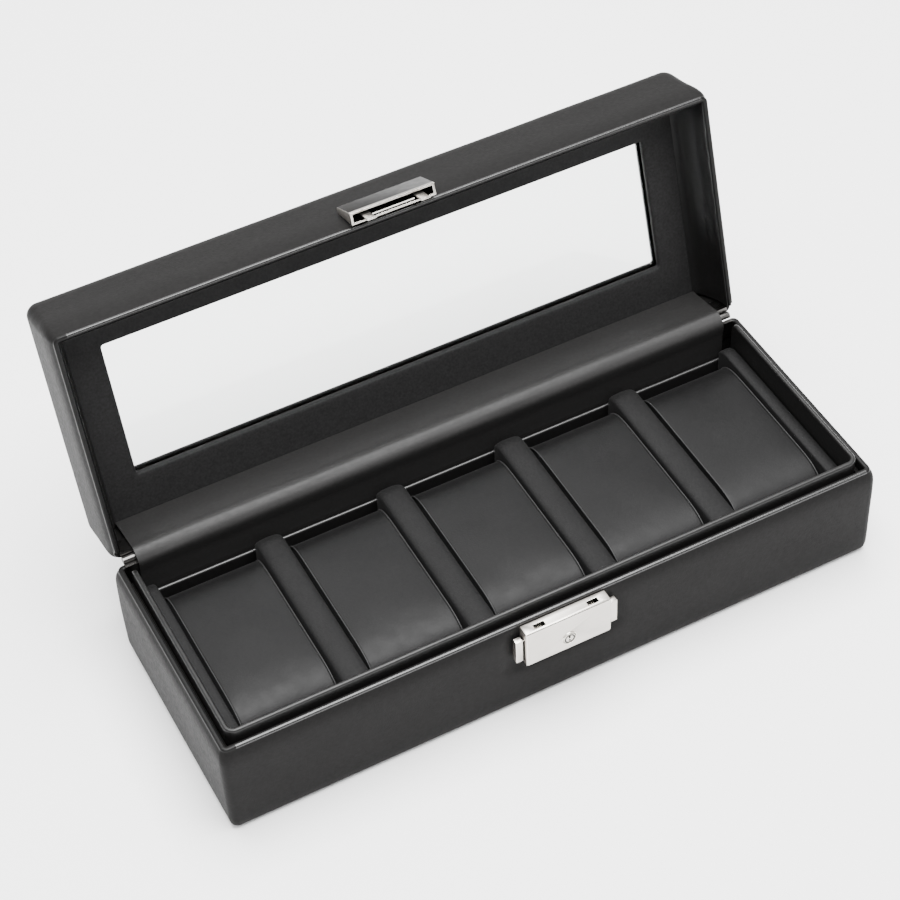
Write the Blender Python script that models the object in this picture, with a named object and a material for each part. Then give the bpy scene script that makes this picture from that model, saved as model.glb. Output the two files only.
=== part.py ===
"""A leather-covered watch box: a padded base with five cushions between dividers, a glazed lid on a
piano hinge, and a push-to-open lock on the front.

Z is up, X runs along the box and the front faces -Y. The origin is on the floor under the middle of
the base. Lengths below are in millimetres and are turned into metres when a mesh is made. The lid
is drawn shut and then turned about its hinge axis, so its dimensions are those of the closed box.
"""

import math

import bmesh
import bpy
from mathutils import Vector

MM = 0.001
GAP = 0.3                       # air between pieces that rest on one another
SKIN_GAP = 0.15                 # air between a board and the leather round it
ARC_STEPS = 3                   # facets in half of a rounded corner

# Base, measured to the outside of its rim
BASE_X = 159.6
BASE_Y = 57.4
RIM_Z = 54.0
BASE_CORNER = 3.0
SKIN = 0.4
LINING_TOP = 0.8
FLOOR_Z = (1.9, 4.6)
WALL_THICK = 1.5
WALL_BOTTOM = FLOOR_Z[1] + GAP

# Collar that stands up inside the rim
COLLAR_X = 155.2
COLLAR_Y = 53.2
COLLAR_THICK = 2.4
COLLAR_TOP = 58.4
COLLAR_CORNER = 5.0
COLLAR_BACK = 50.0
SPACER_TOP = 48.5

# Tray
TRAY_BACK_Y = (50.6, 52.6)
TRAY_BACK_TOP = 36.7
PAD_Z = (FLOOR_Z[1] + GAP, 8.0)
PITCH = 61.0
DIVIDER_WIDTH = 13.0
DIVIDER_TOP = 45.8
CUSHION_WIDTH = 45.0
CUSHION_TOP = 44.8
CUSHION_Y = 46.8

# Hinge
HINGE_Y = 57.9
HINGE_Z = 56.0
HINGE_X = 156.0
OPEN_DEG = 106.3
KNUCKLE_R = 1.6
CURL_R = 1.1
PIN_R = 0.95
KNUCKLES = 12
FLANGE_Y = (54.3, 54.7)
FLANGE_BOTTOM = 45.0
SCREW_X = (-120.0, 0.0, 120.0)

# Lid, shut
LID_X = 158.4
LID_FRONT = -56.2
LID_BACK = 57.4
LID_RIM = 54.9
LID_TOP = 92.8
LID_CORNER = 3.0
LID_WALL = 1.2
LID_BACK_WALL = 2.0
REBATE_Z = 57.95
PANEL_Z = (78.5, 81.3)
FRAME_Z = (81.6, 88.4)
LID_WALL_TOP = 83.5
WINDOW_X = 134.5
WINDOW_Y = 33.0
WINDOW_CORNER = 1.4
GLASS_Z = (82.1, 85.0)
GLASS_LIP = 3.4

# Lock on the base front
LOCK_X = 21.0
LOCK_Z = (31.3, 52.4)
LOCK_Y = (-63.8, -57.8)
LOCK_WALL = 0.9
HOOK_X = 13.0
KEY_Z = 38.6

# Catch bar on the lid front
CATCH_X = 20.3
CATCH_Z = (53.3, 69.3)
CATCH_BACK = -58.1
STUD_X = 16.0
STUD_Z = 65.8

for old in list(bpy.data.objects):
    bpy.data.objects.remove(old, do_unlink=True)


def material(name, colour, roughness, metallic=0.0):
    made = bpy.data.materials.new(name)
    made.use_nodes = True
    shader = made.node_tree.nodes["Principled BSDF"]
    shader.inputs["Base Color"].default_value = (*colour, 1.0)
    shader.inputs["Roughness"].default_value = roughness
    shader.inputs["Metallic"].default_value = metallic
    return made


def leather(name, grey=0.035):
    return material(name, (grey, grey * 0.96, grey * 0.94), 0.5)


def suede(name, grey=0.05):
    return material(name, (grey, grey * 0.97, grey * 0.95), 0.95)


def board(name):
    return material(name, (0.02, 0.019, 0.018), 0.8)


def nickel(name):
    return material(name, (0.66, 0.63, 0.58), 0.32, 1.0)


lid_hinge = bpy.data.objects.new("lid_hinge", None)
bpy.context.scene.collection.objects.link(lid_hinge)
lid_hinge.location = (0.0, HINGE_Y * MM, HINGE_Z * MM)
lid_hinge.rotation_euler = (math.radians(-OPEN_DEG), 0.0, 0.0)


def make(name, points, faces, look, pivot=(0.0, 0.0, 0.0), on_lid=False, round_piece=False):
    """Adds one closed mesh. Its points are in millimetres and its origin is put at the pivot."""
    origin = Vector((0.0, HINGE_Y, HINGE_Z)) if on_lid else Vector(pivot)
    mesh = bpy.data.meshes.new(name)
    mesh.from_pydata([(Vector(p) - origin) * MM for p in points], [], faces)
    shape = bmesh.new()
    shape.from_mesh(mesh)
    bmesh.ops.recalc_face_normals(shape, faces=shape.faces)
    shape.to_mesh(mesh)
    shape.free()
    if round_piece:
        mesh.shade_smooth()
        mesh.set_sharp_from_angle(angle=math.radians(35))
    piece = bpy.data.objects.new(name, mesh)
    bpy.context.scene.collection.objects.link(piece)
    if look is not None:
        mesh.materials.append(look)
    if on_lid:
        piece.parent = lid_hinge
    else:
        piece.location = origin * MM
    return piece


def loft(sections):
    """Closed skin through equal-length sections, with a cap on each end."""
    count = len(sections[0])
    points = [p for section in sections for p in section]
    faces = [tuple(range(count)), tuple(range(len(points) - count, len(points)))]
    for i in range(len(sections) - 1):
        for j in range(count):
            k = (j + 1) % count
            here, there = i * count, (i + 1) * count
            faces.append((here + j, here + k, there + k, there + j))
    return points, faces


def hoop(sections):
    """Closed skin through equal-length sections that come back round to the first."""
    count = len(sections[0])
    points = [p for section in sections for p in section]
    faces = []
    for i in range(len(sections)):
        here, there = i * count, (i + 1) % len(sections) * count
        for j in range(count):
            k = (j + 1) % count
            faces.append((here + j, here + k, there + k, there + j))
    return points, faces


def block(x, y, z):
    low, high = (x[0], y[0], z[0]), (x[1], y[1], z[1])
    corners = [(low[0], low[1]), (high[0], low[1]), (high[0], high[1]), (low[0], high[1])]
    return loft([[(*c, low[2]) for c in corners], [(*c, high[2]) for c in corners]])


def joined(*shapes):
    points, faces = [], []
    for more_points, more_faces in shapes:
        first = len(points)
        points += more_points
        faces += [tuple(first + i for i in face) for face in more_faces]
    return points, faces


def along_x(outline, x0, x1):
    """Outline of (y, z) points drawn out along X."""
    return loft([[(x, y, z) for y, z in outline] for x in (x0, x1)])


def circle(middle, radius, sides=12):
    turn = 2 * math.pi / sides
    return [
        (middle[0] + radius * math.cos(i * turn), middle[1] + radius * math.sin(i * turn))
        for i in range(sides)
    ]


def rod_y(x, z, radius, y0, y1, sides=12):
    ring = circle((x, z), radius, sides)
    return loft([[(px, y, pz) for px, pz in ring] for y in (y0, y1)])


def rounded(x0, x1, y0, y1, radius, z):
    """Rectangle with rounded corners, as points at one height."""
    points = []
    corners = [(x1, y0, -90), (x1, y1, 0), (x0, y1, 90), (x0, y0, 180)]
    for x, y, start in corners:
        cx = x - math.copysign(radius, x)
        cy = y - radius if y == y1 else y + radius
        for i in range(2 * ARC_STEPS + 1):
            a = math.radians(start + 90 * i / (2 * ARC_STEPS))
            points.append((cx + radius * math.cos(a), cy + radius * math.sin(a), z))
    return points


def cut(piece, name, shape, on_lid=False, operation="DIFFERENCE"):
    """Boolean with a hidden tool made from shape, or with a tool that exists already."""
    if isinstance(shape, bpy.types.Object):
        tool = shape
    else:
        tool = make(name, *shape, None, on_lid=on_lid)
        tool.hide_render = True
        tool.display_type = "WIRE"
    change = piece.modifiers.new(name, "BOOLEAN")
    change.operation = operation
    change.solver = "EXACT"
    change.object = tool
    return tool


def wall_path(x0, x1, y0, y1, radius, side):
    """Outer line of one wall, from mitre to mitre, as (x, y, nx, ny) with the outward normal."""
    start = {"right": -45, "back": 45, "left": 135, "front": 225}[side]
    ends = {
        "right": ((x1, y0), (x1, y1)),
        "back": ((x1, y1), (x0, y1)),
        "left": ((x0, y1), (x0, y0)),
        "front": ((x0, y0), (x1, y0)),
    }[side]
    path = []
    for number, (x, y) in enumerate(ends):
        cx = x - math.copysign(radius, x)
        cy = y - math.copysign(radius, y)
        for i in range(ARC_STEPS + 1):
            share = i / ARC_STEPS
            a = start + 45 * (number + share)
            a += 3.0 if number == 0 and i == 0 else 0.0
            a -= 3.0 if number == 1 and i == ARC_STEPS else 0.0
            a = math.radians(a)
            path.append((cx + radius * math.cos(a), cy + radius * math.sin(a), math.cos(a), math.sin(a)))
    return path


def sweep(path, profile):
    """Profile of (depth inwards, height) points carried along a path of (x, y, nx, ny)."""
    return loft([[(x - nx * d, y - ny * d, z) for d, z in profile] for x, y, nx, ny in path])


def plank(thick, z0, z1):
    return [(0.0, z0), (thick, z0), (thick, z1), (0.0, z1)]


# ---------------------------------------------------------------- base shell
make("base_bottom_lining", *loft([rounded(-157.5, 157.5, -55.3, 55.3, 2.0, z) for z in (0.0, LINING_TOP)]),
     suede("bottom_felt", 0.02))
floor_edge = SKIN + SKIN_GAP + 0.2
floor_x, floor_y = BASE_X - floor_edge, BASE_Y - floor_edge
make("base_floor_board", *loft([rounded(-floor_x, floor_x, -floor_y, floor_y, 2.2, z) for z in FLOOR_Z]),
     board("floor_board"))

wall_out = SKIN + SKIN_GAP
wall_box = (-BASE_X + wall_out, BASE_X - wall_out, -BASE_Y + wall_out, BASE_Y - wall_out)
base_boards = {}
for side in ("front", "back", "left", "right"):
    path = wall_path(*wall_box, BASE_CORNER - wall_out, side)
    base_boards[side] = make(f"base_{side}_board",
                             *sweep(path, plank(WALL_THICK, WALL_BOTTOM, RIM_Z - wall_out)),
                             board(f"{side}_board"))

# leather round the outside: (distance out from the rim, extra at front and back, corner radius, height)
turn_in = SKIN + 2 * SKIN_GAP + WALL_THICK
padding = [
    (-13.0, 0.0, 0.5, 1.1),
    (-1.6, 0.0, 2.0, 1.1),
    (0.7, -0.3, 3.0, 1.7),
    (1.6, -0.3, 3.6, 3.8),
    (1.9, -0.3, 4.0, 10.0),
    (1.9, -0.3, 4.0, 24.0),
    (1.5, -0.2, 3.8, 38.0),
    (0.8, -0.1, 3.4, 47.0),
    (0.1, 0.0, 3.0, 52.6),
    (-0.3, 0.0, 2.7, RIM_Z),
    (-turn_in - SKIN + 0.3, 0.0, 0.7, RIM_Z),
    (-turn_in - SKIN, 0.0, 0.4, RIM_Z - 0.4),
    (-turn_in - SKIN, 0.0, 0.4, SPACER_TOP + GAP),
    (-turn_in, 0.0, 0.7, SPACER_TOP + GAP),
    (-turn_in, 0.0, 0.7, RIM_Z - SKIN),
    (-SKIN, 0.0, BASE_CORNER - SKIN, RIM_Z - SKIN),
    (-SKIN, 0.0, BASE_CORNER - SKIN, 1.6),
    (-13.0, 0.0, 0.5, 1.6),
]
base_rings = [
    rounded(-BASE_X - d, BASE_X + d, -BASE_Y - d - e, BASE_Y + d + e, r, z)
    for d, e, r, z in padding
]
base_cover = make("base_leather_cover", *hoop(base_rings), leather("base_leather"), round_piece=True)

spacer = (COLLAR_X + 0.2, BASE_X - wall_out - WALL_THICK - 0.2)
spacer_y = (COLLAR_Y + 0.2, BASE_Y - wall_out - WALL_THICK - 0.2)
make("wall_spacer_front", *block((-153.5, 153.5), (-spacer_y[1], -spacer_y[0]), (WALL_BOTTOM, SPACER_TOP)),
     board("spacer_board_front"))
for side, sign in (("left", -1), ("right", 1)):
    ends = sorted((sign * spacer[0], sign * spacer[1]))
    make(f"wall_spacer_{side}", *block(ends, (-51.5, COLLAR_BACK), (WALL_BOTTOM, SPACER_TOP)),
         board(f"spacer_board_{side}"))

# ---------------------------------------------------------------- collar
collar_profile = [
    (0.0, WALL_BOTTOM),
    (COLLAR_THICK, WALL_BOTTOM),
    (COLLAR_THICK, COLLAR_TOP - 0.7),
    (COLLAR_THICK - 0.6, COLLAR_TOP - 0.1),
    (COLLAR_THICK / 2, COLLAR_TOP),
    (0.6, COLLAR_TOP - 0.1),
    (0.0, COLLAR_TOP - 0.7),
]
leg = -44.0
corner = []
for sign in (-1, 1):
    cx, cy = sign * (COLLAR_X - COLLAR_CORNER), -COLLAR_Y + COLLAR_CORNER
    arc = []
    for i in range(5):
        a = math.radians(180 + 90 * i / 4)
        nx, ny = -sign * math.cos(a), math.sin(a)
        arc.append((cx + COLLAR_CORNER * nx, cy + COLLAR_CORNER * ny, nx, ny))
    corner.append(arc)
front_path = [(-COLLAR_X, leg, -1, 0)] + corner[0] + corner[1][::-1] + [(COLLAR_X, leg, 1, 0)]
make("collar_front", *sweep(front_path, collar_profile), leather("collar_leather_front", 0.045),
     round_piece=True)
collar_drop = [
    (leg + GAP, 0.0),
    (COLLAR_BACK - 5, 0.0),
    (COLLAR_BACK - 2, 0.7),
    (COLLAR_BACK - 0.6, 2.2),
    (COLLAR_BACK, 4.5),
]
for side, sign in (("left", -1), ("right", 1)):
    sections = []
    for y, drop in collar_drop:
        sections.append([(sign * (COLLAR_X - d), y, z - drop if z > COLLAR_TOP - 1 else z)
                         for d, z in collar_profile])
    make(f"collar_{side}", *loft(sections), leather(f"collar_leather_{side}", 0.045), round_piece=True)

# ---------------------------------------------------------------- tray
make("tray_floor_pad", *loft([rounded(-152.4, 152.4, -50.4, TRAY_BACK_Y[0] - GAP, 3.0, z) for z in PAD_Z]),
     suede("floor_pad_suede"))
make("tray_back_wall", *block((-154.9, 154.9), TRAY_BACK_Y, (WALL_BOTTOM, TRAY_BACK_TOP)),
     leather("tray_back_leather"))


def crowned(x, half, top, y0, y1):
    """Padded upright with a rounded crown across X that also drops at its back end."""
    crown = [(-1.0, -3.0), (-0.93, -1.6), (-0.68, -0.5), (-0.25, 0.0)]
    crown += [(-u, drop) for u, drop in reversed(crown)]
    sections = []
    for y, drop in ((y0, 0.0), (y1 - 5.0, 0.0), (y1 - 2.0, 0.8), (y1 - 0.6, 2.2), (y1, 4.0)):
        top_line = [(x + half * u, y, top + fall - drop) for u, fall in crown]
        sections.append([(x + half, y, PAD_Z[1] + GAP), (x - half, y, PAD_Z[1] + GAP)] + top_line)
    return loft(sections)


for number, step in enumerate((-1.5, -0.5, 0.5, 1.5), start=1):
    make(f"divider_{number}", *crowned(step * PITCH, DIVIDER_WIDTH / 2, DIVIDER_TOP, -50.3, 50.2),
         suede(f"divider_suede_{number}"), round_piece=True)
for side, sign in (("left", -1), ("right", 1)):
    make(f"end_divider_{side}", *crowned(sign * 149.2, 3.2, DIVIDER_TOP, -48.2, 50.2),
         suede(f"end_divider_suede_{side}"), round_piece=True)


def cushion_outline(inset):
    """Side view of a cushion: a flat top that rolls over at the front and the back."""
    bottom, top, reach = PAD_Z[1] + 2 * GAP + inset, CUSHION_TOP - inset, CUSHION_Y - inset
    rolls = [
        (-reach, bottom, 5.0, 180),
        (reach, bottom, 5.0, 270),
        (reach, top, 14.0, 0),
        (-reach, top, 17.0, 90),
    ]
    outline = []
    for y, z, radius, start in rolls:
        cy, cz = y - math.copysign(radius, y), z + radius if z == bottom else z - radius
        for i in range(6):
            a = math.radians(start + 18 * i)
            outline.append((cy + radius * math.cos(a), cz + radius * math.sin(a)))
    return outline


for number in range(5):
    x = (number - 2) * PITCH
    half = CUSHION_WIDTH / 2
    cushion = [[(x + dx, y, z) for y, z in cushion_outline(inset)]
               for dx, inset in ((-half, 0.9), (-half + 0.9, 0.0), (half - 0.9, 0.0), (half, 0.9))]
    make(f"cushion_{number + 1}", *loft(cushion), suede(f"cushion_suede_{number + 1}"),
         pivot=(x, 0.0, PAD_Z[1] + 2 * GAP), round_piece=True)


# ---------------------------------------------------------------- piano hinge
def leaf_outline(up):
    """Side view of a leaf: flange, plate, and a curl rolled round the pin. The upper leaf is mirrored."""
    plate_low, plate_high = HINGE_Z - KNUCKLE_R, HINGE_Z - CURL_R
    far = FLANGE_BOTTOM
    outline = [(FLANGE_Y[0], far), (FLANGE_Y[1], far), (FLANGE_Y[1], plate_low)]
    for i in range(10):
        a = math.radians(-90 + 290 * i / 9)
        outline.append((HINGE_Y + KNUCKLE_R * math.cos(a), HINGE_Z + KNUCKLE_R * math.sin(a)))
    for i in range(10):
        a = math.radians(200 - 290 * i / 9)
        outline.append((HINGE_Y + CURL_R * math.cos(a), HINGE_Z + CURL_R * math.sin(a)))
    outline.append((FLANGE_Y[0], plate_high))
    return [(y, 2 * HINGE_Z - z) for y, z in outline] if up else outline


segment = 2 * HINGE_X / KNUCKLES


def knuckle_gaps(first):
    boxes = []
    for i in range(first, KNUCKLES, 2):
        x0 = -HINGE_X + i * segment - (GAP / 2 if i else 5.0)
        x1 = -HINGE_X + (i + 1) * segment + (GAP / 2 if i < KNUCKLES - 1 else 5.0)
        boxes.append(block((x0, x1), (HINGE_Y - KNUCKLE_R - GAP, 62.0), (52.0, 60.0)))
    return joined(*boxes)


lower_leaf = make("hinge_lower_leaf", *along_x(leaf_outline(False), -HINGE_X, HINGE_X),
                  nickel("lower_leaf_nickel"))
cut(lower_leaf, "lower_knuckle_gaps", knuckle_gaps(1))
upper_leaf = make("hinge_upper_leaf", *along_x(leaf_outline(True), -HINGE_X, HINGE_X),
                  nickel("upper_leaf_nickel"), on_lid=True)
cut(upper_leaf, "upper_knuckle_gaps", knuckle_gaps(0), on_lid=True)
make("hinge_pin", *along_x(circle((HINGE_Y, HINGE_Z), PIN_R), -HINGE_X + 0.3, HINGE_X - 0.3),
     nickel("pin_nickel"), round_piece=True)

screw_r = 0.9
screw_sides = 10
screw_tip = 56.0
lower_screw_z = 47.0
upper_screw_z = 64.0


def screw_holes(z):
    return joined(*[rod_y(x, z, screw_r + 0.2, 53.0, screw_tip + 0.2, screw_sides) for x in SCREW_X])


lower_holes = cut(lower_leaf, "lower_screw_holes", screw_holes(lower_screw_z))
cut(base_boards["back"], "lower_screw_holes_board", lower_holes)
upper_holes = cut(upper_leaf, "upper_screw_holes", screw_holes(upper_screw_z), on_lid=True)
for number, x in enumerate(SCREW_X, start=1):
    for leaf, z, on_lid in (("lower", lower_screw_z, False), ("upper", upper_screw_z, True)):
        make(f"hinge_screw_{leaf}_{number}", *rod_y(x, z, screw_r, FLANGE_Y[0], screw_tip, screw_sides),
             nickel(f"{leaf}_screw_nickel_{number}"), on_lid=on_lid, round_piece=True)

# ---------------------------------------------------------------- lid
lid_out = SKIN + SKIN_GAP
lid_box = (-LID_X + lid_out, LID_X - lid_out, LID_FRONT + lid_out, LID_BACK - lid_out)
lid_boards = {}
for side in ("front", "back", "left", "right"):
    thick = LID_BACK_WALL if side == "back" else LID_WALL
    bottom = LID_RIM + 4.3 if side == "back" else LID_RIM + lid_out
    lid_boards[side] = make(f"lid_{side}_board",
                            *sweep(wall_path(*lid_box, LID_CORNER - lid_out, side),
                                   plank(thick, bottom, LID_WALL_TOP)),
                            board(f"lid_board_{side}"), on_lid=True)
cut(lid_boards["back"], "upper_screw_holes_board", upper_holes)

lid_turn = SKIN + 2 * SKIN_GAP + LID_WALL
lid_padding = [
    (-lid_turn - SKIN, 0.7, LID_RIM + 4.0),
    (-lid_turn - SKIN, 0.7, LID_RIM + 0.3),
    (-lid_turn - SKIN + 0.3, 1.0, LID_RIM),
    (-0.3, 2.7, LID_RIM),
    (0.0, 3.0, LID_RIM + 0.5),
    (1.1, 3.5, LID_RIM + 5.5),
    (1.6, 4.2, LID_RIM + 14.0),
    (1.6, 5.0, LID_RIM + 25.0),
    (1.5, 5.0, LID_RIM + 33.0),
    (0.7, 5.2, LID_TOP - 1.5),
    (-1.2, 5.3, LID_TOP - 0.25),
    (-5.5, 5.3, LID_TOP),
]
window_side = [
    (9.5, 4.0, LID_TOP - 0.8),
    (4.5, 2.6, LID_TOP - 1.6),
    (1.2, 1.8, LID_TOP - 3.6),
    (0.0, WINDOW_CORNER, LID_TOP - 6.1),
    (0.0, WINDOW_CORNER, FRAME_Z[1] - 3.0),
    (SKIN, WINDOW_CORNER + 0.2, FRAME_Z[1] - 3.0),
    (SKIN, WINDOW_CORNER + 0.2, FRAME_Z[1] - 2.4),
    (2.3, WINDOW_CORNER + 1.2, FRAME_Z[1] + GAP),
]
lid_inside = [
    (-1.9 - 0.6, 5.2, FRAME_Z[1] + GAP),
    (-1.9, 1.5, LID_WALL_TOP + GAP),
    (-SKIN, LID_CORNER - SKIN, LID_WALL_TOP + GAP),
    (-SKIN, LID_CORNER - SKIN, LID_RIM + SKIN),
    (-lid_turn, 1.1, LID_RIM + SKIN),
    (-lid_turn, 1.1, LID_RIM + 4.0),
]


def lid_section(d, r, z):
    return rounded(-LID_X - d, LID_X + d, LID_FRONT - d, LID_BACK + d, r, z)


def window_section(d, r, z):
    return rounded(-WINDOW_X - d, WINDOW_X + d, -WINDOW_Y - d, WINDOW_Y + d, r, z)


lid_sections = [lid_section(*line) for line in lid_padding]
lid_sections += [window_section(*line) for line in window_side]
lid_sections += [lid_section(*line) for line in lid_inside]
lid_cover = make("lid_leather_cover", *hoop(lid_sections), leather("lid_leather"), on_lid=True,
                 round_piece=True)
rebate_block = block((-LID_X - 6.6, LID_X + 6.6), (53.3, LID_BACK + 6.6), (50.0, REBATE_Z))
rebate = cut(lid_cover, "hinge_rebate", rebate_block, on_lid=True)
for side in ("left", "right"):
    cut(lid_boards[side], "hinge_rebate_board", rebate)

# the frame fills the lid from board to board and is chamfered round its top
frame_out = (-LID_X + 2.2, LID_X - 2.2, LID_FRONT + 2.2, LID_BACK - 2.8)
frame_chamfer = 0.6
frame_top = (frame_out[0] + frame_chamfer, frame_out[1] - frame_chamfer,
             frame_out[2] + frame_chamfer, frame_out[3] - frame_chamfer)
rail_x, rail_y = WINDOW_X + GLASS_LIP + GAP, WINDOW_Y + GLASS_LIP + GAP
lip = SKIN + 0.2
make("lid_top_frame",
     *hoop([
         rounded(*frame_out, 1.0, FRAME_Z[0]),
         rounded(-rail_x, rail_x, -rail_y, rail_y, 1.0, FRAME_Z[0]),
         rounded(-rail_x, rail_x, -rail_y, rail_y, 1.0, GLASS_Z[1] + GAP),
         window_section(lip, WINDOW_CORNER + 0.4, GLASS_Z[1] + GAP),
         window_section(lip, WINDOW_CORNER + 0.4, FRAME_Z[1] - 2.5),
         window_section(lip + 2.0, WINDOW_CORNER + 1.4, FRAME_Z[1]),
         rounded(*frame_top, 5.0, FRAME_Z[1]),
         rounded(*frame_out, 1.0, LID_WALL_TOP),
     ]), board("top_frame_board"), on_lid=True)
make("lid_inner_panel",
     *hoop([
         rounded(*frame_out, 1.0, PANEL_Z[0]),
         window_section(0.6, WINDOW_CORNER + 0.6, PANEL_Z[0]),
         window_section(0.0, WINDOW_CORNER, PANEL_Z[0] + 0.6),
         window_section(0.0, WINDOW_CORNER, PANEL_Z[1]),
         rounded(*frame_out, 1.0, PANEL_Z[1]),
     ]), suede("inner_panel_suede"), on_lid=True)
glass = material("window_glass", (0.85, 0.88, 0.87), 0.05)
glass_x, glass_y = WINDOW_X + GLASS_LIP, WINDOW_Y + GLASS_LIP
make("window_glass", *loft([rounded(-glass_x, glass_x, -glass_y, glass_y, 0.8, z) for z in GLASS_Z]),
     glass, on_lid=True)

# padded lining strips, mitred at the front corners: (distance in from the rim, height)
lining = [
    (2.55, 55.3),
    (2.8, 55.4),
    (2.9, 59.0),
    (3.3, 64.0),
    (4.4, 70.0),
    (5.9, 75.0),
    (7.9, 78.2),
    (2.55, 78.2),
]
mitre = 0.1
make("lid_lining_front",
     *loft([[(sign * (LID_X - d - mitre), LID_FRONT + d, z) for d, z in lining] for sign in (-1, 1)]),
     suede("lining_suede_front"), on_lid=True, round_piece=True)
for side, sign in (("left", -1), ("right", 1)):
    ends = [[(sign * (LID_X - d), LID_FRONT + d + mitre, z) for d, z in lining],
            [(sign * (LID_X - d), 53.2, z) for d, z in lining]]
    make(f"lid_lining_{side}", *loft(ends), suede(f"lining_suede_{side}"), on_lid=True, round_piece=True)


# ---------------------------------------------------------------- flap over the hinge
def from_lid(y, z):
    """Where a point of the shut lid's side view stands once the lid is open."""
    a = math.radians(OPEN_DEG)
    dy, dz = y - HINGE_Y, z - HINGE_Z
    return (HINGE_Y + dy * math.cos(a) + dz * math.sin(a),
            HINGE_Z - dy * math.sin(a) + dz * math.cos(a))


flap_line = [
    from_lid(52.3, 78.1),
    from_lid(53.2, 66.0),
    from_lid(53.7, 60.0),
    from_lid(53.75, 56.8),
    (57.9, 59.7),
    (56.1, 58.8),
    (54.5, 57.5),
    (53.4, 56.0),
    (53.1, 54.2),
    (53.3, 51.5),
    (53.6, 48.0),
    (53.6, 25.0),
]
flap_thick = 0.5
left_edge, right_edge = [], []
for i, (y, z) in enumerate(flap_line):
    before, after = flap_line[max(i - 1, 0)], flap_line[min(i + 1, len(flap_line) - 1)]
    along = Vector((after[0] - before[0], after[1] - before[1])).normalized()
    left_edge.append((y - along.y * flap_thick / 2, z + along.x * flap_thick / 2))
    right_edge.append((y + along.y * flap_thick / 2, z - along.x * flap_thick / 2))
make("hinge_lining_flap", *along_x(left_edge + right_edge[::-1], -150.2, 150.2), leather("flap_leather"),
     round_piece=True)

# ---------------------------------------------------------------- lock
pocket = block((-LOCK_X - 0.4, LOCK_X + 0.4), (-70.0, LOCK_Y[1] + 0.1), (LOCK_Z[0] - 0.4, LOCK_Z[1] + 0.4))
cut(base_cover, "lock_pocket", pocket)

case_outline = []
for x, z, start in ((LOCK_X, LOCK_Z[0], 270), (LOCK_X, LOCK_Z[1], 0), (-LOCK_X, LOCK_Z[1], 90),
                    (-LOCK_X, LOCK_Z[0], 180)):
    for i in range(3):
        a = math.radians(start + 45 * i)
        cx, cz = x - math.copysign(0.8, x), z + 0.8 if z == LOCK_Z[0] else z - 0.8
        case_outline.append((cx + 0.8 * math.cos(a), cz + 0.8 * math.sin(a)))


def case_section(y, inset):
    wide, tall = (LOCK_X - inset) / LOCK_X, 1 - 2 * inset / (LOCK_Z[1] - LOCK_Z[0])
    middle = (LOCK_Z[0] + LOCK_Z[1]) / 2
    return [(x * wide, y, middle + (z - middle) * tall) for x, z in case_outline]


lock_case = make("lock_case",
                 *loft([case_section(LOCK_Y[0], 0.5), case_section(LOCK_Y[0] + 0.5, 0.0),
                        case_section(LOCK_Y[1], 0.0)]), nickel("lock_case_nickel"))
inside_x = (-LOCK_X + LOCK_WALL, LOCK_X - LOCK_WALL)
inside_z = (LOCK_Z[0] + LOCK_WALL, LOCK_Z[1] - LOCK_WALL)
cut(lock_case, "lock_hollow", block(inside_x, (LOCK_Y[0] + LOCK_WALL, -50.0), inside_z))
slots = [block((x - 2.6, x + 2.6), (-62.3, -59.8), (50.0, 54.0)) for x in (-13.1, 13.1)]
sides = [block(x, (-62.2, -58.6), (33.7, 47.8)) for x in ((-23.0, -18.0), (18.0, 23.0))]
cut(lock_case, "lock_slots", joined(*slots, *sides))
cut(lock_case, "key_opening", rod_y(0.0, KEY_Z, 3.2, -66.0, -61.0, 20))

plate_y = (LOCK_Y[1] - 0.6, LOCK_Y[1])
plate_x = (inside_x[0] + 0.2, inside_x[1] - 0.2)
plate_z = (inside_z[0] + 0.2, inside_z[1] - 0.2)
back_plate = make("lock_back_plate", *block(plate_x, plate_y, plate_z), nickel("back_plate_nickel"))
cut(back_plate, "spring_lug", block((-6.0, -5.0), (-61.0, plate_y[0] + 0.3), (33.6, 36.8)), operation="UNION")
lock_screw_x = 8.5
lock_screw_z = 39.0
lock_holes = cut(back_plate, "lock_screw_holes",
                 joined(*[rod_y(x, lock_screw_z, 1.05, -59.2, -55.6, 10)
                          for x in (-lock_screw_x, lock_screw_x)]))
cut(base_cover, "lock_screw_holes_cover", lock_holes)
cut(base_boards["front"], "lock_screw_holes_board", lock_holes)
lock_screw = [(1.2, -59.3), (1.6, -59.1), (1.6, -58.7), (0.85, -58.7), (0.85, -55.9)]
for side, x in (("left", -lock_screw_x), ("right", lock_screw_x)):
    screw = [[(px, y, pz) for px, pz in circle((x, lock_screw_z), r, 10)] for r, y in lock_screw]
    make(f"lock_screw_{side}", *loft(screw), nickel(f"lock_screw_nickel_{side}"), round_piece=True)

# slider: a bar with a tab through each side of the case and a finger beside each hook
slider_outline = [
    (-25.0, 34.0), (-17.0, 34.0), (-17.0, 43.0), (17.0, 43.0), (17.0, 34.0), (25.0, 34.0), (25.0, 47.5),
    (17.0, 47.5), (17.0, 50.5), (15.8, 50.5), (15.8, 46.5), (-8.9, 46.5), (-8.9, 50.5), (-10.1, 50.5),
    (-10.1, 46.5), (-17.0, 46.5), (-17.0, 47.5), (-25.0, 47.5),
]
make("lock_slider", *loft([[(x, y, z) for x, z in slider_outline] for y in (-61.9, -58.9)]),
     nickel("slider_nickel"))

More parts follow.
